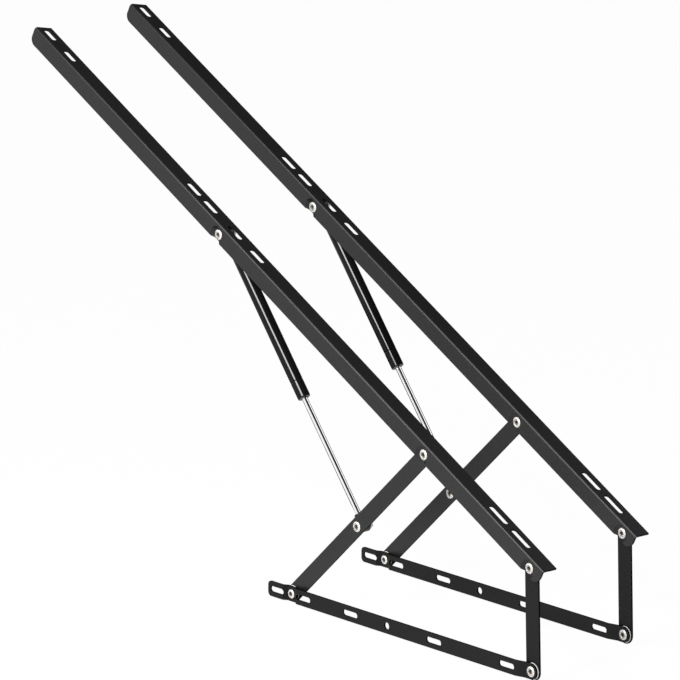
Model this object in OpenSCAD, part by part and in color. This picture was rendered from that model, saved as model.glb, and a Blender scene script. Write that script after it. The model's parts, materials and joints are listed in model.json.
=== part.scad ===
// Fold down bed mechanism: a pair of four-bar lift arms of the same hand, each
// with a base bar, two links, a slotted angle rail and a gas strut. Drawn open.
// The rear arm is the front arm again, set back and a little to the left.
// X runs along the base bars, Y to the back, Z up. The origin is the round hole
// of the front base bar, on its front face.

/* [Linkage] */
// Distance between the two pivots of the base bar
base_span = 490; // [470:1:520]
// Length of the long link between its end pivots
long_link_l = 372; // [360:1:390]
// Length of the short link between its end pivots
short_link_l = 140; // [132:1:155]
// Height of the rail's pivots over the base pivots when folded flat
closed_h = 85; // [75:1:95]
// Angle of the long link over the base bar when open
open_angle = 42.5; // [36:0.5:45]
// Distance from the short link's pivot on the rail up to the strut's pivot
strut_head_at = 723; // [690:1:760]
// Distance from the long link's base pivot up to the strut's pivot
strut_foot_at = 181; // [170:1:200]

/* [Sheet steel] */
// Thickness of the angle rail
rail_t = 2.5; // [2:0.1:3]
// Thickness of the base bar
bar_t = 2.5; // [2:0.1:3]
// Thickness of both links
link_t = 2.5; // [2:0.1:3]
// Depth to which every pivot seat is pressed towards the links
seat_depth = 4; // [3:0.1:4.5]
// Radius of the flat floor of a pressed seat in the rail
seat_floor_r = 9; // [8.5:0.1:9.5]
// Radius of a pressed seat at the face of the rail
seat_mouth_r = 13; // [11:0.1:14]

/* [Rail] */
// Length of the rail
rail_l = 1210; // [1150:1:1300]
// Length of rail past the short link's pivot
rail_tail = 26; // [20:1:30]
// Height of the rail's web
web_h = 25; // [24:0.5:28]
// Depth of the rail's flange
flange_d = 24; // [23:0.5:28]
// Height of the flange's top over the pivots
flange_top = 17; // [16.5:0.1:18]
// Outer radius of the rail's bend
bend_r = 4; // [3.5:0.1:5]
// How far the flange's free edge is cut back at the rail's upper end
flange_cut = 7; // [0:0.5:8]
// Radius of the web's corner at the rail's upper end
top_corner_r = 10; // [4:0.5:15]
// Radius of the web's corner at the rail's lower end
low_corner_r = 14; // [8:0.5:15]

/* [Rail slots] */
// Length of the two slots at the rail's upper end
top_slot_l = 25; // [20:1:30]
// Length of the four slots beside the strut's pivot
mid_slot_l = 30; // [20:1:36]
// Length of the two slots at the rail's lower end
low_slot_l = 38; // [20:1:42]
// Width of a rail slot
rail_slot_w = 8; // [5:0.1:9]
// Distance of the slots' centre line from the rail's face
rail_slot_y = 13; // [12:0.1:14]
// Spacing of the two slots of each end pair
end_pitch = 50; // [48:0.5:56]
// Distance of the upper pair's centre from the rail's upper end
top_pair_at = 46; // [46:0.5:60]
// Distance of the lower pair's centre from the rail's lower end
low_pair_at = 90; // [60:0.5:110]
// Spacing of the two slots above the strut's pivot
above_pitch = 40; // [38:0.5:46]
// Distance of that pair's centre from the strut's pivot
above_pair_at = 60; // [60:0.5:70]
// Spacing of the two slots at and below the strut's pivot
below_pitch = 53; // [42:0.5:56]
// Distance of that pair's centre from the strut's pivot
below_pair_at = 46; // [46:0.5:60]

/* [Base bar] */
// Height of the base bar
bar_h = 21.5; // [20:0.1:24]
// Length of bar past the long link's pivot
bar_tail = 45; // [42:0.5:50]
// Radius of the tail's corners
tail_corner_r = 6; // [3:0.1:8]
// Place of the round hole, from the long link's pivot
hole_at = 204; // [190:0.5:230]
// Diameter of the round hole
hole_d = 10; // [8:0.1:11]
// Length of a base bar slot from end to end
bar_slot_l = 30; // [20:0.5:32]
// Width of every base bar slot
bar_slot_w = 8; // [5:0.1:9]
// Length of the slot in the tail
tail_slot_l = 27; // [16:0.5:28]
// Distance of the tail slot's centre from the long link's pivot
tail_slot_at = 26.5; // [25.5:0.5:27.5]
// Distance of the first slot's centre from the long link's pivot
slot_1_at = 29; // [29:0.5:40]
// Distance of the second slot's centre from the long link's pivot
slot_2_at = 128; // [100:0.5:160]
// Distance of the third slot's centre from the long link's pivot
slot_3_at = 300; // [260:0.5:340]
// Distance of the last slot's centre from the short link's pivot
slot_4_at = 44; // [44:0.5:70]
// Length of the steep ramps beside the long link's seat
steep_ramp = 6; // [2:0.1:6]
// Length of the gentle ramp before the short link's seat
gentle_ramp = 15; // [8:0.5:16]

/* [Links] */
// Width of the long link
long_link_w = 24; // [22:0.1:26]
// Width of the short link
short_link_w = 26; // [22:0.1:27]

/* [Rivets and washers] */
// Diameter of the rivets' shanks
shank_d = 8; // [7:0.1:9]
// Diameter of the rivets' heads
head_d = 14.5; // [13:0.1:15]
// Diameter of the smaller head of the long link's rivet on the base bar
base_head_d = 12.6; // [12:0.1:13]
// Thickness of the rivets' heads
head_t = 2; // [1.8:0.1:2.2]
// Diameter of the hole through each rivet
rivet_hole_d = 4.5; // [3:0.1:5]
// Diameter of the flared mouth of that hole in each head
mouth_d = 7.4; // [6:0.1:7.8]
// Diameter of the plastic washers on the base bar
base_washer_d = 23.2; // [18:0.1:23.6]
// Diameter of the plastic washers on the rail
rail_washer_d = 15; // [14:0.1:16]
// Thickness of the plastic washers
washer_t = 1; // [0.8:0.1:1.5]

/* [Gas strut] */
// Outer diameter of the strut's tube
tube_d = 18; // [16:0.1:18]
// Wall of the strut's tube
tube_wall = 1.2; // [1:0.1:1.6]
// Distance from the upper eye's centre to the end of the guide cap
body_l = 259; // [240:1:262]
// Length of the guide cap that closes the tube round the rod
cap_l = 26; // [18:0.5:30]
// Diameter of the rod
rod_d = 8; // [7:0.1:9]
// Distance of the strut's axis behind the rail's face
strut_y = 20; // [19.8:0.1:21]
// Radius of the strut's eyes
eye_r = 9; // [8:0.1:10]
// Thickness of the strut's eyes
eye_t = 10; // [8:0.1:11]
// Diameter of the studs that carry the eyes
stud_d = 8; // [7:0.1:8.5]
// Distance across the flats of the stud nuts
nut_af = 12; // [11:0.1:13]
// Thickness of the stud nuts
nut_t = 5; // [4:0.1:6]

/* [Pair] */
// Distance of the rear arm behind the front arm
pair_y = 210; // [120:1:400]
// Distance of the rear arm to the left of the front arm
pair_x = 49; // [0:1:100]

/* [Hidden] */
$fn = 48;
steel_black = [0.16, 0.16, 0.165];
gloss_black = [0.07, 0.07, 0.075];
zinc = [0.82, 0.81, 0.77];
chrome = [0.88, 0.88, 0.9];
nylon = [0.93, 0.93, 0.91];
rubber = [0.1, 0.1, 0.1];

// Running clearance of a shaft in a hole, fit of a fixed shank, and end play
run_gap = 0.06;
fixed_gap = 0.02;
play = 0.1;
cut = 1;

// The pivots in the plane of the linkage, x then z, from the long link's pivot
rail_span = base_span + sqrt(short_link_l ^ 2 - closed_h ^ 2)
    - sqrt(long_link_l ^ 2 - closed_h ^ 2);
pivot_b = [base_span, 0];
pivot_c = long_link_l * [cos(open_angle), sin(open_angle)];
diagonal = norm(pivot_c - pivot_b);
short_angle = atan2(pivot_c.y, pivot_c.x - base_span)
    - acos((short_link_l ^ 2 + diagonal ^ 2 - rail_span ^ 2) / (2 * short_link_l * diagonal));
pivot_d = pivot_b + short_link_l * [cos(short_angle), sin(short_angle)];
rail_angle = atan2(pivot_c.y - pivot_d.y, pivot_d.x - pivot_c.x);
rail_up = [-cos(rail_angle), sin(rail_angle)];
pivot_e = pivot_d + strut_head_at * rail_up;
pivot_f = strut_foot_at * [cos(open_angle), sin(open_angle)];
strut_l = norm(pivot_f - pivot_e);
strut_angle = atan2(pivot_f.y - pivot_e.y, pivot_f.x - pivot_e.x);

// The same strut with the rail folded flat
closed_angle = asin(closed_h / long_link_l);
closed_e = [base_span + sqrt(short_link_l ^ 2 - closed_h ^ 2) - strut_head_at, closed_h];
closed_f = strut_foot_at * [cos(closed_angle), sin(closed_angle)];
closed_strut_l = norm(closed_f - closed_e);
stroke = strut_l - closed_strut_l;

// The stack of pieces along Y at a pivot
seat_back = seat_depth + bar_t;
link_y = seat_back + washer_t + play;
link_back = link_y + link_t;
eye_y = strut_y - eye_t / 2;
stud_washer_d = 16;
stud_washer_t = 1;
stud_tail = 1.5;
nut_y = eye_y + eye_t + stud_washer_t + play;

// Inside the strut, along its axis from the upper eye
bore_r = tube_d / 2 - tube_wall;
tube_start = 14;
floor_t = 5;
spigot_l = 6;
guide_l = 12;
seal_t = 5;
piston_l = 8;
piston_stop = 4;
tube_end = body_l - cap_l;
guide_at = tube_end - spigot_l - guide_l;
seal_at = guide_at - seal_t;
piston_at = seal_at - piston_stop - piston_l;
neck_r = 6.5;
neck_l = 17;
neck_taper = 2;
rod_inset = 11;

// Basic shapes

// A flat shape in X and Z, given thickness t along Y from y
module plate(y, t) {
    translate([0, y + t, 0]) rotate([90, 0, 0]) linear_extrude(t) children();
}

// A round bar along Y from y to y + l
module pin(y, l, d) {
    translate([0, y, 0]) rotate([-90, 0, 0]) cylinder(h = l, d = d);
}

// A cone along Y from y, from diameter d1 to d2
module taper_pin(y, l, d1, d2) {
    translate([0, y, 0]) rotate([-90, 0, 0]) cylinder(h = l, d1 = d1, d2 = d2);
}

// A round-ended slot of length l and width w along X
module slot(l, w) {
    square([l - w, w], center = true);
    for (side = [-1, 1]) translate([side * (l - w) / 2, 0]) circle(d = w);
}

// A bar of length l between two pivots, with round ends
module link_outline(l, w) {
    translate([0, -w / 2]) square([l, w]);
    for (x = [0, l]) translate([x, 0]) circle(d = w);
}

// Turns a profile of radius against length about the X axis
module turned() {
    rotate([0, 90, 0]) rotate_extrude() children();
}

// The frames of the moving pieces, as they lie when open
module on_rail() {
    translate([pivot_d.x, 0, pivot_d.y]) rotate([0, rail_angle, 0]) children();
}

module on_long_link() {
    rotate([0, -open_angle, 0]) children();
}

module on_short_link() {
    translate([pivot_b.x, 0, pivot_b.y]) rotate([0, -short_angle, 0]) children();
}

module on_strut() {
    translate([pivot_e.x, 0, pivot_e.y]) rotate([0, -strut_angle, 0]) children();
}

// Angle rail: web, flange and bend, with pressed seats and slots

module rail_section() {
    translate([0, flange_top - web_h]) square([rail_t, web_h - bend_r]);
    translate([bend_r, flange_top - rail_t]) square([flange_d - bend_r, rail_t]);
    translate([bend_r, flange_top - bend_r]) intersection() {
        difference() {
            circle(bend_r);
            circle(bend_r - rail_t);
        }
        translate([-bend_r, 0]) square(bend_r);
    }
}

rail_top_x = rail_tail - rail_l;
web_bottom = flange_top - web_h;
seat_places = [0, -rail_span, -strut_head_at];

// Each pair of rail slots: its centre, spacing and slot length
slot_pairs = [
    [rail_top_x + top_pair_at, end_pitch, top_slot_l],
    [-strut_head_at - above_pair_at, above_pitch, mid_slot_l],
    [-strut_head_at + below_pair_at, below_pitch, mid_slot_l],
    [rail_tail - low_pair_at, end_pitch, low_slot_l]
];

module rail_blank() {
    translate([rail_top_x, 0, 0]) rotate([90, 0, 90]) linear_extrude(rail_l) rail_section();
    intersection() {
        for (x = seat_places) translate([x, 0, 0])
            taper_pin(rail_t, seat_depth, 2 * seat_mouth_r, 2 * seat_floor_r);
        translate([-strut_head_at - seat_mouth_r, 0, web_bottom])
            cube([strut_head_at + 2 * seat_mouth_r, seat_back, web_h - rail_t]);
    }
}

// What is left outside a corner of radius r at the origin, through the web
module corner_cut(r) {
    plate(-cut, rail_t + 2 * cut) difference() {
        translate([-cut, -cut]) square(r + cut);
        translate([r, r]) circle(r);
    }
}

module rail_end_cuts() {
    translate([rail_top_x, 0, flange_top - rail_t - cut]) linear_extrude(rail_t + 2 * cut)
        polygon([
            [-cut, bend_r], [0, bend_r], [flange_cut, flange_d],
            [flange_cut, flange_d + cut], [-cut, flange_d + cut]
        ]);
    translate([rail_top_x, 0, web_bottom]) corner_cut(top_corner_r);
    translate([rail_tail, 0, web_bottom]) mirror([1, 0, 0]) corner_cut(low_corner_r);
}

module rail() {
    color(steel_black) on_rail() difference() {
        rail_blank();
        rail_end_cuts();
        for (x = seat_places) translate([x, 0, 0]) {
            taper_pin(0, seat_depth, 2 * seat_mouth_r, 2 * seat_floor_r);
            pin(-cut, seat_back + 2 * cut, shank_d + 2 * fixed_gap);
        }
        for (pair = slot_pairs) for (side = [-1, 1])
            translate([pair[0] + side * pair[1] / 2, rail_slot_y, flange_top - rail_t - cut])
                linear_extrude(rail_t + 2 * cut) slot(pair[2], rail_slot_w);
    }
}

// Base bar: a strip on edge, stepped back at both pivots

seat_half = 8;
steep_shift = bar_t * tan(atan2(seat_depth, steep_ramp) / 2);
gentle_shift = bar_t * tan(atan2(seat_depth, gentle_ramp) / 2);
seat_b_at = base_span - bar_h / 2 - 1;

module bar_strip() {
    end_x = base_span + bar_h;
    ramp_b = seat_b_at - gentle_ramp;
    polygon([
        [-bar_tail, 0], [-seat_half - steep_ramp, 0], [-seat_half, seat_depth],
        [seat_half, seat_depth], [seat_half + steep_ramp, 0], [ramp_b, 0],
        [seat_b_at, seat_depth], [end_x, seat_depth], [end_x, seat_back],
        [seat_b_at - gentle_shift, seat_back], [ramp_b - gentle_shift, bar_t],
        [seat_half + steep_ramp + steep_shift, bar_t], [seat_half + steep_shift, seat_back],
        [-seat_half - steep_shift, seat_back], [-seat_half - steep_ramp - steep_shift, bar_t],
        [-bar_tail, bar_t]
    ]);
}

module bar_outline() {
    corner = tail_corner_r;
    translate([corner - bar_tail, -bar_h / 2]) square([base_span + bar_tail - corner, bar_h]);
    translate([-bar_tail, corner - bar_h / 2]) square([corner + cut, bar_h - 2 * corner]);
    for (side = [-1, 1])
        translate([corner - bar_tail, side * (bar_h / 2 - corner)]) circle(corner);
    translate([base_span, 0]) circle(d = bar_h);
}

module base_bar() {
    color(steel_black) difference() {
        intersection() {
            translate([0, 0, -bar_h / 2]) linear_extrude(bar_h) bar_strip();
            plate(-cut, seat_back + 2 * cut) bar_outline();
        }
        for (x = [0, base_span]) translate([x, 0, 0])
            pin(0, seat_back + cut, shank_d + 2 * fixed_gap);
        translate([hole_at, 0, 0]) pin(-cut, bar_t + 2 * cut, hole_d);
        plate(-cut, seat_back + 2 * cut) {
            translate([-tail_slot_at, 0]) slot(tail_slot_l, bar_slot_w);
            for (x = [slot_1_at, slot_2_at, slot_3_at, base_span - slot_4_at])
                translate([x, 0]) slot(bar_slot_l, bar_slot_w);
        }
    }
}

// Links: flat bars behind the base bar and the rail

module long_link() {
    color(steel_black) on_long_link() difference() {
        plate(link_y, link_t) link_outline(long_link_l, long_link_w);
        pin(link_y - cut, link_t + 2 * cut, shank_d + 2 * run_gap);
        translate([long_link_l, 0, 0]) pin(link_y - cut, link_t + 2 * cut, shank_d + 2 * fixed_gap);
        translate([strut_foot_at, 0, 0]) pin(link_y - cut, link_t + 2 * cut, stud_d + 2 * fixed_gap);
    }
}

module short_link() {
    color(steel_black) on_short_link() difference() {
        plate(link_y, link_t) link_outline(short_link_l, short_link_w);
        for (x = [0, short_link_l]) translate([x, 0, 0])
            pin(link_y - cut, link_t + 2 * cut, shank_d + 2 * run_gap);
    }
}

// Rivets and washers

rim_part = 3;
mouth_t = 1.4;

// A rivet's head of diameter d at y, with its domed side at y + side * head_t
module rivet_head(y, side, d = head_d) {
    rim = head_t / rim_part;
    if (side < 0) {
        pin(y - rim, rim, d);
        taper_pin(y - head_t, head_t - rim, d - 2 * head_t, d);
    } else {
        pin(y, rim, d);
        taper_pin(y + rim, head_t - rim, d, d - 2 * head_t);
    }
}

// The hole of a rivet of length l whose front head starts at y, with its flared mouth
module rivet_bore(y, l) {
    pin(y - cut, l + 2 * cut, rivet_hole_d);
    taper_pin(y, mouth_t, mouth_d, rivet_hole_d);
}

// A hollow rivet between the seat and the back of a link
module pivot_rivet(d = head_d) {
    color(zinc) difference() {
        union() {
            rivet_head(seat_depth, -1, d);
            pin(seat_depth, link_back + play - seat_depth, shank_d);
            rivet_head(link_back + play, 1, d);
        }
        rivet_bore(seat_depth - head_t, link_back + play - seat_depth + 2 * head_t);
    }
}

// The front part of a rivet, up to y
module rivet_front(y) {
    color(zinc) difference() {
        union() {
            rivet_head(seat_depth, -1);
            pin(seat_depth, y - seat_depth, shank_d);
        }
        rivet_bore(seat_depth - head_t, y - seat_depth + head_t);
    }
}

module washer(d) {
    color(nylon) difference() {
        pin(seat_back, washer_t, d);
        pin(seat_back - cut, washer_t + 2 * cut, shank_d + 2 * fixed_gap);
    }
}

module rivet_a() { pivot_rivet(base_head_d); }

module rivet_b() { translate([base_span, 0, 0]) pivot_rivet(); }

module rivet_c_head() {
    on_rail() translate([-rail_span, 0, 0]) rivet_front(seat_back + washer_t);
}

module rivet_c_tail() {
    color(zinc) on_long_link() translate([long_link_l, 0, 0]) difference() {
        union() {
            pin(link_y, link_t, shank_d);
            rivet_head(link_back, 1);
        }
        pin(link_y - cut, link_t + head_t + 2 * cut, rivet_hole_d);
    }
}

module rivet_d() { on_rail() pivot_rivet(); }

module washer_a() { washer(base_washer_d); }

module washer_b() { translate([base_span, 0, 0]) washer(base_washer_d); }

module washer_c() { on_rail() translate([-rail_span, 0, 0]) washer(rail_washer_d); }

module washer_d() { on_rail() washer(rail_washer_d); }

// Gas strut: tube and rod, with an eye at either end

// A ring of wall between two radii, from x to x + l
module sleeve(x, l, inner, outer) {
    turned() translate([inner, x]) square([outer - inner, l]);
}

module eye_ring() {
    pin(eye_y, eye_t, 2 * eye_r);
}

module eye_bore() {
    pin(eye_y - cut, eye_t + 2 * cut, stud_d + 2 * run_gap);
}

// The neck from the eye's centre to x = l, no wider than the eye beside its washer
module eye_neck(l) {
    taper_at = stud_washer_d / 2 + play;
    translate([0, strut_y, 0]) turned() polygon([
        [0, 0], [eye_t / 2, 0], [eye_t / 2, taper_at],
        [neck_r, taper_at + neck_taper], [neck_r, l], [0, l]
    ]);
}

module upper_eye() {
    color(steel_black) on_strut() difference() {
        union() {
            eye_ring();
            eye_neck(tube_start);
        }
        eye_bore();
    }
}

module lower_eye() {
    color(steel_black) on_strut() translate([strut_l, 0, 0]) difference() {
        union() {
            eye_ring();
            mirror([1, 0, 0]) eye_neck(neck_l);
        }
        eye_bore();
        translate([0, strut_y, 0])
            sleeve(-neck_l - cut, neck_l + cut - rod_inset, 0, rod_d / 2 + fixed_gap);
    }
}

tube_round = 3;

module tube() {
    color(gloss_black) on_strut() translate([0, strut_y, 0]) turned() difference() {
        union() {
            translate([0, tube_start]) square([tube_d / 2 - tube_round, tube_round + cut]);
            translate([0, tube_start + tube_round])
                square([tube_d / 2, tube_end - tube_start - tube_round]);
            translate([0, tube_start]) intersection() {
                translate([tube_d / 2 - tube_round, tube_round]) circle(tube_round);
                square(tube_d / 2);
            }
        }
        translate([0, tube_start + floor_t]) square([bore_r, tube_end]);
    }
}

cap_groove = 1.2;
cap_groove_depth = 0.6;
cap_round = 1.5;

module guide_cap() {
    outer = tube_d / 2;
    color(gloss_black) on_strut() translate([0, strut_y, 0]) turned() difference() {
        union() {
            translate([0, tube_end - spigot_l]) square([bore_r - fixed_gap, spigot_l + cut]);
            translate([0, tube_end]) square([outer - cap_groove_depth, cap_groove + cut]);
            translate([0, tube_end + cap_groove])
                square([outer, cap_l - cap_groove - cap_round]);
            translate([0, body_l - cap_round - cut]) square([outer - cap_round, cap_round + cut]);
            translate([outer - cap_round, body_l - cap_round]) circle(cap_round);
        }
        translate([0, tube_end - spigot_l - cut])
            square([rod_d / 2 + run_gap, cap_l + spigot_l + 2 * cut]);
    }
}

module rod_guide() {
    color(zinc) on_strut() translate([0, strut_y, 0])
        sleeve(guide_at, guide_l, rod_d / 2 + run_gap, bore_r - fixed_gap);
}

module rod_seal() {
    color(rubber) on_strut() translate([0, strut_y, 0])
        sleeve(seal_at, seal_t, rod_d / 2 + run_gap, bore_r - fixed_gap);
}

piston_gap = 0.3;
ring_l = 3;
ring_depth = 1.5;

module piston() {
    color(zinc) on_strut() translate([0, strut_y, 0]) difference() {
        sleeve(piston_at, piston_l, rod_d / 2 + fixed_gap, bore_r - piston_gap);
        sleeve(piston_at + (piston_l - ring_l) / 2, ring_l, bore_r - ring_depth, tube_d);
    }
}

module piston_ring() {
    color(rubber) on_strut() translate([0, strut_y, 0])
        sleeve(piston_at + (piston_l - ring_l) / 2 + fixed_gap, ring_l - 2 * fixed_gap,
            bore_r - ring_depth + fixed_gap, bore_r - run_gap);
}

module rod() {
    color(chrome) on_strut() translate([0, strut_y, 0])
        sleeve(piston_at, strut_l - rod_inset - piston_at, 0, rod_d / 2);
}

// Studs, spacer and nuts that carry the strut's eyes

spacer_d = 12;
stud_end = nut_y + nut_t + stud_tail;
upper_nut_y = eye_y + eye_t + play;

nut_corner_d = nut_af / cos(30);
nut_chamfer = 1;

// A hexagon nut along Y from y, with its outer corners turned off
module nut(y) {
    color(zinc) difference() {
        intersection() {
            translate([0, y, 0]) rotate([-90, 0, 0])
                cylinder(h = nut_t, d = nut_corner_d, $fn = 6);
            union() {
                pin(y, nut_t - nut_chamfer, nut_corner_d + cut);
                taper_pin(y + nut_t - nut_chamfer, nut_chamfer, nut_corner_d + cut, nut_af - cut / 2);
            }
        }
        pin(y - cut, nut_t + 2 * cut, stud_d + 2 * fixed_gap);
    }
}

module strut_rivet_head() {
    on_rail() translate([-strut_head_at, 0, 0]) rivet_front(seat_back);
}

module strut_rivet_stud() {
    color(zinc) on_strut() {
        pin(seat_back + play, eye_y - seat_back - 2 * play, spacer_d);
        pin(eye_y - play - cut, stud_end - stud_washer_t - eye_y + play + cut, stud_d);
    }
}

module upper_nut() { on_strut() nut(upper_nut_y); }

module on_foot() {
    on_long_link() translate([strut_foot_at, 0, 0]) children();
}

module foot_stud() {
    color(zinc) on_foot() difference() {
        union() {
            rivet_head(link_y, -1);
            pin(link_y, stud_end - link_y, stud_d);
        }
        rivet_bore(link_y - head_t, head_t + link_t - cut);
    }
}

module foot_spacer() {
    color(zinc) on_foot() difference() {
        pin(link_back, eye_y - play - link_back, spacer_d);
        pin(link_back - cut, eye_y - link_back + 2 * cut, stud_d + 2 * fixed_gap);
    }
}

module foot_washer() {
    washer_y = eye_y + eye_t + play;
    color(zinc) on_foot() difference() {
        pin(washer_y, stud_washer_t, stud_washer_d);
        pin(washer_y - cut, stud_washer_t + 2 * cut, stud_d + 2 * fixed_gap);
    }
}

module foot_nut() { on_foot() nut(nut_y); }

// The two arms of the pair
module front() { translate([-hole_at, 0, 0]) children(); }

module rear() { translate([-hole_at - pair_x, pair_y, 0]) children(); }

front() rail();  // front_rail
front() base_bar();  // front_base_bar
front() long_link();  // front_long_link
front() short_link();  // front_short_link
front() rivet_a();  // front_rivet_a
front() rivet_b();  // front_rivet_b
front() rivet_c_head();  // front_rivet_c_head
front() rivet_c_tail();  // front_rivet_c_tail
front() rivet_d();  // front_rivet_d
front() washer_a();  // front_washer_a
front() washer_b();  // front_washer_b
front() washer_c();  // front_washer_c
front() washer_d();  // front_washer_d
front() strut_rivet_head();  // front_strut_rivet_head
front() strut_rivet_stud();  // front_strut_rivet_stud
front() upper_nut();  // front_upper_nut
front() upper_eye();  // front_upper_eye
front() tube();  // front_tube
front() guide_cap();  // front_guide_cap
front() rod_guide();  // front_rod_guide
front() rod_seal();  // front_rod_seal
front() piston();  // front_piston
front() piston_ring();  // front_piston_ring
front() rod();  // front_rod
front() lower_eye();  // front_lower_eye
front() foot_stud();  // front_foot_stud
front() foot_spacer();  // front_foot_spacer
front() foot_washer();  // front_foot_washer
front() foot_nut();  // front_foot_nut
rear() rail();  // rear_rail
rear() base_bar();  // rear_base_bar
rear() long_link();  // rear_long_link
rear() short_link();  // rear_short_link
rear() rivet_a();  // rear_rivet_a
rear() rivet_b();  // rear_rivet_b
rear() rivet_c_head();  // rear_rivet_c_head
rear() rivet_c_tail();  // rear_rivet_c_tail
rear() rivet_d();  // rear_rivet_d
rear() washer_a();  // rear_washer_a
rear() washer_b();  // rear_washer_b
rear() washer_c();  // rear_washer_c
rear() washer_d();  // rear_washer_d
rear() strut_rivet_head();  // rear_strut_rivet_head
rear() strut_rivet_stud();  // rear_strut_rivet_stud
rear() upper_nut();  // rear_upper_nut
rear() upper_eye();  // rear_upper_eye
rear() tube();  // rear_tube
rear() guide_cap();  // rear_guide_cap
rear() rod_guide();  // rear_rod_guide
rear() rod_seal();  // rear_rod_seal
rear() piston();  // rear_piston
rear() piston_ring();  // rear_piston_ring
rear() rod();  // rear_rod
rear() lower_eye();  // rear_lower_eye
rear() foot_stud();  // rear_foot_stud
rear() foot_spacer();  // rear_foot_spacer
rear() foot_washer();  // rear_foot_washer
rear() foot_nut();  // rear_foot_nut
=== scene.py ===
import json
from math import cos, pi, radians, sin

import bmesh
import bpy
from mathutils import Matrix, Vector


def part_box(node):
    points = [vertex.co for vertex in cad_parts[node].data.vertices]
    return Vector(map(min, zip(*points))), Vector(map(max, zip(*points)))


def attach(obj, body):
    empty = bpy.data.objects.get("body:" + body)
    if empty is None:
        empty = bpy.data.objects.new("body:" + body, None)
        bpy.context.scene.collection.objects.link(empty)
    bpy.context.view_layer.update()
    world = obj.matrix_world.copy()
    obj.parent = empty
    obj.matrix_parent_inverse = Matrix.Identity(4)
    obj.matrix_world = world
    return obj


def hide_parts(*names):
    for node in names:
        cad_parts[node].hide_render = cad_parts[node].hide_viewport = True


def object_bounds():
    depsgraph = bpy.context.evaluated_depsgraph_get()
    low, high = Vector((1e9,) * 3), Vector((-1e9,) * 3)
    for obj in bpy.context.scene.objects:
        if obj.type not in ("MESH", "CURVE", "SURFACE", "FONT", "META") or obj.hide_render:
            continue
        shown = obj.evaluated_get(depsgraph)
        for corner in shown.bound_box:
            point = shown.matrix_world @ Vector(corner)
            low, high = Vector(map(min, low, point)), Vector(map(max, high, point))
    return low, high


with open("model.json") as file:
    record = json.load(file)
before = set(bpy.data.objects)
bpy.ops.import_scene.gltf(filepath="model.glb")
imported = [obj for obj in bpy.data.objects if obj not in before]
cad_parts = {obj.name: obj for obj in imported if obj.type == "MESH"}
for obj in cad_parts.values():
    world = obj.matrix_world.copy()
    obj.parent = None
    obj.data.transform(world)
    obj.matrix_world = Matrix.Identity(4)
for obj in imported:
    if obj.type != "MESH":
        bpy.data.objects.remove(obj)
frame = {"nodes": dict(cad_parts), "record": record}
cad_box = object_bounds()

# The pressed steel: base bars, links and angle rails of both arms. Each is stamped
# from 2.5 mm sheet, pressed and folded, and powder coated black with a fine orange
# peel. Its bends are soft and its cut edges only broken. The cut edges are painted
# darker and matt, as painted shade for their dark outlines; the base bars and short
# links are painted darker than the rails, as painted shade for the low parts.


class Shade:
    """A value in a finish. Arithmetic on it adds the nodes that work it out."""

    def __init__(self, finish, socket):
        self.finish = finish
        self.socket = socket

    def reckon(self, operation, first, second):
        return self.finish.node("ShaderNodeMath", {"operation": operation}, {0: first, 1: second})

    def __add__(self, other):
        return self.reckon("ADD", self, other)

    def __sub__(self, other):
        return self.reckon("SUBTRACT", self, other)

    def __rsub__(self, other):
        return self.reckon("SUBTRACT", other, self)

    def __mul__(self, other):
        return self.reckon("MULTIPLY", self, other)

    __radd__ = __add__
    __rmul__ = __mul__


class Finish:
    """What a surface is painted with, built from nodes."""

    def __init__(self, owner, **constants):
        owner.use_nodes = True
        self.owner = owner
        self.tree = owner.node_tree
        self.surface = next(node for node in self.tree.nodes if node.outputs)
        for name, value in constants.items():
            self.set(name.replace("_", " "), value)

    def node(self, kind, settings, sockets, output=0):
        made = self.tree.nodes.new(kind)
        for name, value in settings.items():
            setattr(made, name, value)
        for name, value in sockets.items():
            self.join(made.inputs[name], value)
        return Shade(self, made.outputs[output])

    def join(self, socket, value):
        if isinstance(value, Shade):
            self.tree.links.new(value.socket, socket)
        else:
            socket.default_value = value

    def set(self, name, value):
        self.join(self.surface.inputs[name], value)

    def noise(self, scale, detail, stretch=(1, 1, 1)):
        place = self.node("ShaderNodeTexCoord", {}, {}, "Object")
        place = self.node("ShaderNodeMapping", {}, {"Vector": place, "Scale": stretch})
        return self.node("ShaderNodeTexNoise", {},
                         {"Vector": place, "Scale": scale, "Detail": detail})

    def blend(self, amount, first, second):
        return self.node("ShaderNodeMix", {"data_type": "RGBA"},
                         {"Factor": amount, 6: first, 7: second}, 2)

    def grain(self, height, depth):
        self.set("Normal", self.node("ShaderNodeBump", {}, {"Height": height, "Distance": depth}))


def powder_coat(name, dark, light, roughness, sheen):
    """A nearly black coat, cloudy on a large scale and like orange peel on a small one."""
    cool, peel_depth = 1.03, 0.000022
    finish = Finish(bpy.data.materials.new(name), Specular_IOR_Level=sheen)
    cloud = finish.noise(9, 3)
    peel = finish.noise(650, 2)
    finish.set("Base Color", finish.blend(cloud, (dark, dark, dark * cool, 1),
                                          (light, light, light * cool, 1)))
    finish.set("Roughness", cloud * 0.1 + peel * 0.08 + (roughness - 0.09))
    finish.grain(peel + finish.noise(2600, 1) * 0.4, peel_depth)
    return finish.owner


def only(piece):
    """Selects the piece and nothing else."""
    for other in bpy.context.selected_objects:
        other.select_set(False)
    bpy.context.view_layer.objects.active = piece
    piece.select_set(True)


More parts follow.
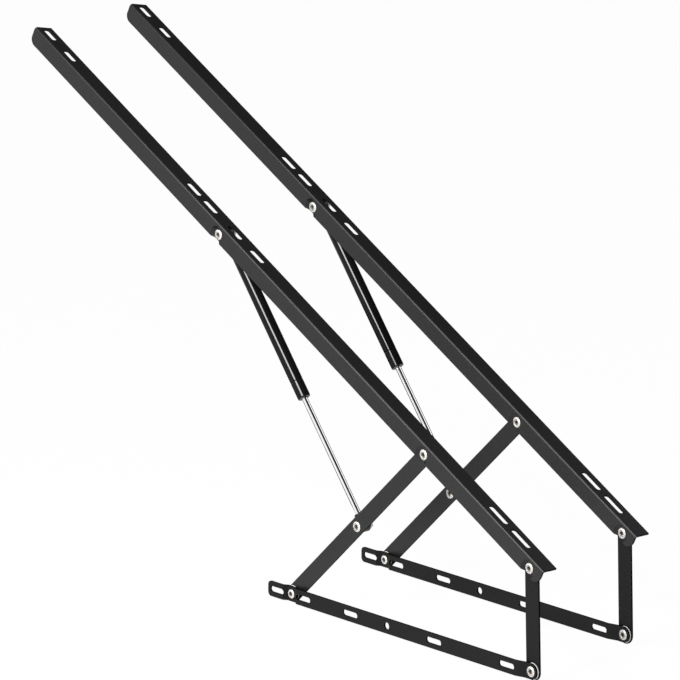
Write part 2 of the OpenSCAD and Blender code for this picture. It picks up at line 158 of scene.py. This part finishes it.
def ease(piece, sharpest, bluntest, width, steps):
    """Rounds the edges that turn by less than the sharpest and more than the bluntest angle."""
    only(piece)
    bpy.ops.object.mode_set(mode="EDIT")
    bpy.ops.mesh.select_mode(type="EDGE")
    bpy.ops.mesh.select_all(action="DESELECT")
    shape = bmesh.from_edit_mesh(piece.data)
    for edge in shape.edges:
        edge.select_set(edge.is_manifold and bluntest < edge.calc_face_angle() < sharpest)
    bmesh.update_edit_mesh(piece.data)
    if any(edge.select for edge in shape.edges):
        bpy.ops.mesh.bevel(offset=width, segments=steps, affect="EDGES", clamp_overlap=True)
    bpy.ops.object.mode_set(mode="OBJECT")


def finished_copy(node):
    """A copy of a CAD node with its loose facets joined into whole faces."""
    same_place, same_plane = 0.000002, radians(0.5)
    solid = frame["nodes"][node]
    piece = bpy.data.objects.new(node + "_finished", solid.data.copy())
    bpy.context.scene.collection.objects.link(piece)
    only(piece)
    bpy.ops.object.mode_set(mode="EDIT")
    bpy.ops.mesh.select_all(action="SELECT")
    bpy.ops.mesh.remove_doubles(threshold=same_place)
    bpy.ops.mesh.dissolve_limited(angle_limit=same_plane)
    bpy.ops.object.mode_set(mode="OBJECT")
    return piece


def even_shade(piece):
    """Smooth across the rounded edges, with the flat faces left flat."""
    crease = radians(40)
    only(piece)
    bpy.ops.object.shade_smooth_by_angle(angle=crease)
    flats = piece.modifiers.new("flats", "WEIGHTED_NORMAL")
    flats.keep_sharp = True
    bpy.ops.object.modifier_apply(modifier="flats")


def fit_out(piece, node, slot, *finishes):
    """The piece stands for the node, moves with its body and takes its finish."""
    even_shade(piece)
    piece.data.materials.clear()
    for finish in finishes:
        piece.data.materials.append(finish)
    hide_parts(node)
    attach(piece, body_of[node])


body_of = {node: body for body, nodes in frame["record"]["behaviour"]["bodies"].items()
           for node in nodes}
arms = ("front", "rear")
square, bend, slight_bend = radians(130), radians(62), radians(20)
bend_round, cut_edge_round = 0.0011, 0.00035
rail_coat = powder_coat("satin_black_powder_coat", 0.006, 0.01, 0.44, 0.4)
# The base bars and short links take a darker copy of the rails' coat: painted shade for the lowest
# parts.
bar_coat_painted_shade = powder_coat("black_powder_coat_painted_shade", 0.004, 0.0065, 0.42, 0.15)
# The cut edges and slot walls get a darker, matt coat: painted shade for their dark outlines.
edge_painted_shade_coat = powder_coat("matt_edge_coat_painted_shade", 0.0025, 0.004, 0.6, 0.005)
flange_out = Vector((0.466, 0, 0.885))
edge_lean, flange_lean, flange_depth = 0.5, 0.3, 0.004


def cut_faces(piece, strip):
    """The faces that stand square to the sheet, without those of a rail's flange."""
    flange_back = max(corner.co.dot(flange_out) for corner in piece.data.vertices) - flange_depth
    for face in piece.data.polygons:
        on_flange = (strip == "rail" and abs(face.normal.dot(flange_out)) > flange_lean
                     and face.center.dot(flange_out) > flange_back)
        if abs(face.normal.y) < edge_lean and not on_flange:
            yield face


for arm in arms:
    for strip, coat in (("rail", rail_coat), ("long_link", rail_coat),
                        ("base_bar", bar_coat_painted_shade), ("short_link", bar_coat_painted_shade)):
        node = f"{arm}_{strip}"
        piece = finished_copy(node)
        ease(piece, bend, slight_bend, bend_round, 3)
        ease(piece, square, bend, cut_edge_round, 2)
        fit_out(piece, node, "black_steel", coat, edge_painted_shade_coat)
        # Faces square to the sheet take the darker matt coat: painted shade.
        for face in cut_faces(piece, strip):
            face.material_index = 1

# The pivot rivets: hollow zinc plated steel, their ends rolled over into a ring by
# the setting tool. The flared mouth and bore of the hole are painted dark: painted
# shade in the hollow.
zinc = Finish(bpy.data.materials.new("bright_zinc_plate"), Metallic=0.3)
mottle = zinc.noise(420, 3)
zinc.set("Base Color", zinc.blend(mottle, (0.72, 0.7, 0.66, 1), (0.86, 0.84, 0.8, 1)))
zinc.set("Roughness", mottle * 0.14 + 0.3)
zinc.grain(zinc.noise(1500, 2), 0.00002)
# Painted shade: the rivets' mouths and bores are coloured dark brownish grey for the shade in the
# hollow.
bore_painted_shade = Finish(bpy.data.materials.new("rivet_bore_painted_shade"), Metallic=0.4)
rub = bore_painted_shade.noise(500, 2)
bore_painted_shade.set("Base Color", bore_painted_shade.blend(rub, (0.07, 0.06, 0.05, 1), (0.24, 0.21, 0.18, 1)))
bore_painted_shade.set("Roughness", rub * 0.2 + 0.45)
bore_painted_shade.grain(rub, 0.00003)
turned, rim_round, mouth_r = radians(24), 0.0005, 0.0035


def mouth_faces(piece, node):
    """The faces of the mouth and bore, told by how near the pivot's axis they lie."""
    low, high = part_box(node)
    centre = (Vector(low) + Vector(high)) / 2
    for face in piece.data.polygons:
        offset = face.center - centre
        if (offset.x ** 2 + offset.z ** 2) ** 0.5 < mouth_r:
            yield face


for arm in arms:
    for rivet in ("rivet_a", "rivet_b", "rivet_c_head", "rivet_c_tail", "rivet_d",
                  "strut_rivet_head"):
        node = f"{arm}_{rivet}"
        piece = finished_copy(node)
        ease(piece, square, turned, rim_round, 3)
        fit_out(piece, node, "zinc", zinc.owner, bore_painted_shade.owner)
        # The mouth and bore take the dark material: painted shade.
        for face in mouth_faces(piece, node):
            face.material_index = 1

# The pivot washers: white nylon rings between each link and the seat behind it,
# blanked from sheet, with a slight sheen and faint rub marks.
nylon = Finish(bpy.data.materials.new("white_nylon"))
film = nylon.noise(300, 2)
nylon.set("Base Color", nylon.blend(film, (0.8, 0.8, 0.77, 1), (0.9, 0.9, 0.88, 1)))
nylon.set("Roughness", film * 0.15 + 0.38)
nylon.grain(nylon.noise(1800, 2), 0.00002)
corner, blanked_round = radians(60), 0.00015
for arm in arms:
    for ring in ("washer_a", "washer_b", "washer_c", "washer_d"):
        node = f"{arm}_{ring}"
        piece = finished_copy(node)
        ease(piece, square, corner, blanked_round, 2)
        fit_out(piece, node, "nylon", nylon.owner)

# The gas strut's body: a drawn tube with its closed end spun over and a guide cap
# pressed in at the rod's end, both enamelled gloss black with a groove between.
enamel = Finish(bpy.data.materials.new("gloss_black_enamel"), Specular_IOR_Level=0.14)
sag = enamel.noise(14, 2)
enamel.set("Base Color", enamel.blend(sag, (0.002, 0.002, 0.0021, 1), (0.004, 0.004, 0.0042, 1)))
enamel.set("Roughness", sag * 0.05 + enamel.noise(900, 2) * 0.03 + 0.07)
enamel.grain(enamel.noise(260, 2), 0.000012)
spun = radians(40)
for arm in arms:
    for part, rim in (("tube", 0.0004), ("guide_cap", 0.0003)):
        node = f"{arm}_{part}"
        piece = finished_copy(node)
        ease(piece, square, spun, rim, 2)
        fit_out(piece, node, "gloss_tube", enamel.owner)

# The strut's working parts, out of sight in the tube: a turned steel guide and
# piston, and the moulded rubber seal and piston ring that keep the gas in.
turned_steel = Finish(bpy.data.materials.new("turned_steel"), Metallic=1.0)
tool_marks = turned_steel.noise(900, 2)
turned_steel.set("Base Color", turned_steel.blend(tool_marks, (0.5, 0.5, 0.51, 1),
                                                  (0.68, 0.68, 0.69, 1)))
turned_steel.set("Roughness", tool_marks * 0.2 + 0.2)
turned_steel.grain(tool_marks, 0.00002)
seal_rubber = Finish(bpy.data.materials.new("seal_rubber"))
bloom = seal_rubber.noise(600, 3)
seal_rubber.set("Base Color", seal_rubber.blend(bloom, (0.014, 0.014, 0.014, 1),
                                                (0.03, 0.03, 0.03, 1)))
seal_rubber.set("Roughness", bloom * 0.2 + 0.5)
seal_rubber.grain(bloom, 0.00003)
for arm in arms:
    for part, finish in (("rod_guide", turned_steel), ("piston", turned_steel),
                         ("rod_seal", seal_rubber), ("piston_ring", seal_rubber)):
        solid = frame["nodes"][f"{arm}_{part}"]
        solid.data.materials.clear()
        solid.data.materials.append(finish.owner)

# The piston rod: ground steel, hard chromed and polished, screwed into the lower
# eye. Polishing leaves it very slightly uneven in its shine.
chrome = Finish(bpy.data.materials.new("hard_chrome"), Metallic=1.0)
polish = chrome.noise(700, 2, (1, 1, 6))
chrome.set("Base Color", chrome.blend(chrome.noise(40, 2), (0.92, 0.92, 0.93, 1),
                                      (0.97, 0.97, 0.98, 1)))
chrome.set("Roughness", polish * 0.02 + 0.035)
rod_end_round = 0.0005
for arm in arms:
    node = f"{arm}_rod"
    piece = finished_copy(node)
    ease(piece, square, corner, rod_end_round, 2)
    fit_out(piece, node, "chrome_rod", chrome.owner)

# The strut's eyes: flat forged eyes screwed on to the tube and the rod, brushed
# over with a semi gloss black paint.
eye_paint = powder_coat("semi_gloss_black_paint", 0.006, 0.011, 0.34, 0.45)
forged, forged_round = radians(30), 0.0007
for arm in arms:
    for part in ("upper_eye", "lower_eye"):
        node = f"{arm}_{part}"
        piece = finished_copy(node)
        ease(piece, square, forged, forged_round, 3)
        fit_out(piece, node, "black_eye", eye_paint)

# The studs that carry the eyes, with their spacers, washers and hexagon nuts: zinc
# plated steel. The studs' rolled thread shows where it comes out of the nut; the
# foot stud's head is set like a rivet's, its mouth painted dark as painted shade.
thread_pitch = 0.00125
wave_at_one = 2 * pi / 20
threaded = Finish(bpy.data.materials.new("threaded_zinc_plate"), Metallic=0.9)
place = threaded.node("ShaderNodeTexCoord", {}, {}, "Object")
turns = threaded.node("ShaderNodeTexWave", {"wave_type": "BANDS", "bands_direction": "Y"},
                      {"Vector": place, "Scale": wave_at_one / thread_pitch})
# The thread's turns are painted in dark and light bands: painted shade in the grooves, over the
# bump that shapes them.
threaded.set("Base Color", threaded.blend(turns, (0.36, 0.35, 0.33, 1), (0.84, 0.83, 0.8, 1)))
threaded.set("Roughness", threaded.noise(900, 2) * 0.2 + 0.25)
threaded.grain(turns, 0.0003)
head_depth = 0.003
for arm in arms:
    for part, width, finish in (("strut_rivet_stud", 0.0005, threaded),
                                ("foot_stud", 0.0005, threaded),
                                ("foot_spacer", 0.0004, zinc), ("foot_washer", 0.0002, zinc),
                                ("foot_nut", 0.0003, zinc), ("upper_nut", 0.0003, zinc)):
        node = f"{arm}_{part}"
        piece = finished_copy(node)
        ease(piece, square, turned, width, 2)
        fit_out(piece, node, "zinc", finish.owner, zinc.owner, bore_painted_shade.owner)
        if part == "foot_stud":
            head_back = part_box(node)[0][1] + head_depth
            for face in piece.data.polygons:
                if face.center.y < head_back:
                    face.material_index = 1
            # The foot stud's mouth takes the dark material: painted shade.
            for face in mouth_faces(piece, node):
                face.material_index = 2

# The floor: white paper that keeps the arms' shadow and shows as the white
# background, also in what mirrors it.
ground, paper_gap = cad_box[0].z, 0.0005
bpy.ops.mesh.primitive_plane_add(size=60, location=(0, 0, ground - paper_gap))
floor = bpy.context.object
floor.name = "studio_floor"
paper = Finish(bpy.data.materials.new("white_paper"), Roughness=0.9)
paper.set("Base Color", paper.blend(paper.noise(30, 2), (0.88, 0.88, 0.88, 1),
                                    (0.9, 0.9, 0.9, 1)))
seen = paper.node("ShaderNodeLightPath", {}, {}, "Is Camera Ray")
through = paper.node("ShaderNodeLightPath", {}, {}, "Is Transmission Ray")
mirrored = paper.node("ShaderNodeLightPath", {}, {}, "Is Glossy Ray")
glow = paper.node("ShaderNodeEmission", {}, {"Color": (1, 1, 1, 1), "Strength": 1.0})
white_share = (seen + through) * 0.975 + mirrored * 0.7
white = paper.node("ShaderNodeMixShader", {}, {0: white_share,
                                               1: Shade(paper, paper.surface.outputs[0]), 2: glow})
paper.join(paper.tree.nodes["Material Output"].inputs["Surface"], white)
floor.data.materials.append(paper.owner)

# The black card: velvet laid on the paper to the left, out of the camera's sight,
# for the chrome rods to mirror as the dark line along their edge.
velvet = Finish(bpy.data.materials.new("black_velvet"), Roughness=0.95)
velvet.set("Base Color", velvet.blend(velvet.noise(200, 2), (0.004, 0.004, 0.004, 1),
                                      (0.01, 0.01, 0.01, 1)))
card_gap = 0.0003
bpy.ops.mesh.primitive_plane_add(size=1, location=(-0.9, 0.26, ground - card_gap))
card = bpy.context.object
card.name = "black_card"
card.scale = (0.9, 1.28, 1)
card.visible_camera = card.visible_diffuse = card.visible_shadow = False
card.data.materials.append(velvet.owner)

# The room: white to the camera and, in what mirrors it, white in front and low down
# and nearly black overhead, so that the coats stay black and the rods get their lines.
world = bpy.data.worlds.new("white_room")
bpy.context.scene.world = world
room = Finish(world, Color=(1, 1, 1, 1))
seen = room.node("ShaderNodeLightPath", {}, {}, "Is Camera Ray")
through = room.node("ShaderNodeLightPath", {}, {}, "Is Transmission Ray")
mirrored = room.node("ShaderNodeLightPath", {}, {}, "Is Glossy Ray")
direction = room.node("ShaderNodeTexCoord", {}, {}, "Generated")
toward_back = room.node("ShaderNodeSeparateXYZ", {}, {"Vector": direction}, "Y")
upward = room.node("ShaderNodeSeparateXYZ", {}, {"Vector": direction}, "Z")
low_in_front = room.node("ShaderNodeMapRange", {}, {"Value": upward + toward_back * 0.6,
                                                    "From Min": 0.12, "From Max": 0.04})
dim, dim_mirrored, white_mirrored = 0.2, 0.04, 0.96
room.set("Strength", (seen + through) * (1 - dim) + dim - mirrored * (dim - dim_mirrored)
         + mirrored * low_in_front * white_mirrored)


# The lamps: a softbox in front, one more for the gloss tubes' bright stripe, a strip
# light over the rails' bends and a dimmer softbox behind, lying along the struts.
def softbox(name, place, target, along, length, width, brightness):
    """A rectangular lamp at a place, facing a target, its length along a direction."""
    facing = (Vector(place) - Vector(target)).normalized()
    side = Vector(along)
    side = (side - side.dot(facing) * facing).normalized()
    turn = Matrix((side, facing.cross(side), facing)).transposed()
    light = bpy.data.lights.new(name, "AREA")
    light.shape = "RECTANGLE"
    light.size, light.size_y = length, width
    light.energy = brightness * pi * length * width
    lamp = bpy.data.objects.new(name, light)
    lamp.matrix_world = Matrix.Translation(place) @ turn.to_4x4()
    bpy.context.scene.collection.objects.link(lamp)
    return lamp


def choose(lamp, state, *parts):
    """Makes the lamp light only some parts, or all but those, as flags on stands would."""
    chosen = bpy.data.collections.new(lamp.name + "_chosen")
    for arm in arms:
        for part in parts:
            chosen.objects.link(bpy.data.objects[f"{arm}_{part}_finished"])
    for entry in chosen.collection_objects:
        entry.light_linking.link_state = state
    lamp.light_linking.receiver_collection = chosen


strut, strut_run = (-0.2, 0.05, 0.33), (0.63, 0, -0.78)
rail_bend, rail_run = (0.006, 0, 0.344), (0.885, 0, -0.466)
front = softbox("front_softbox", (0.35, -2.0, 1.68), strut, strut_run, 0.95, 0.75, 22)
stripe = softbox("stripe_softbox", (0.355, -2.03, 1.70), strut, strut_run, 1.0, 1.1, 34)
softbox("bend_striplight", (-0.414, -1.23, 2.124), rail_bend, rail_run, 0.9, 0.22, 54)
behind = softbox("back_softbox", (0.75, 1.35, 1.5), (0.0, 0.1, 0.3), strut_run, 1.2, 1.0, 1.5)
choose(front, "EXCLUDE", "rod")
choose(stripe, "INCLUDE", "tube", "guide_cap")
choose(behind, "EXCLUDE", "tube", "guide_cap")

# The camera: a long lens from the right and a little above, as in the photograph.
aim = Vector((-0.2220, 0.1063, 0.3378))
azimuth, elevation, distance = radians(49.67), radians(13.72), 9.196
back = Vector((sin(azimuth) * cos(elevation), -cos(azimuth) * cos(elevation), sin(elevation)))
camera = bpy.data.cameras.new("camera")
camera.lens = 356.1
camera.sensor_width = 36
camera.clip_end = 100
viewer = bpy.data.objects.new("camera", camera)
viewer.location = aim + distance * back
viewer.rotation_mode = "QUATERNION"
viewer.rotation_quaternion = back.to_track_quat("Z", "Y")
bpy.context.scene.collection.objects.link(viewer)
bpy.context.scene.camera = viewer
bpy.context.scene.view_settings.view_transform = "Standard"
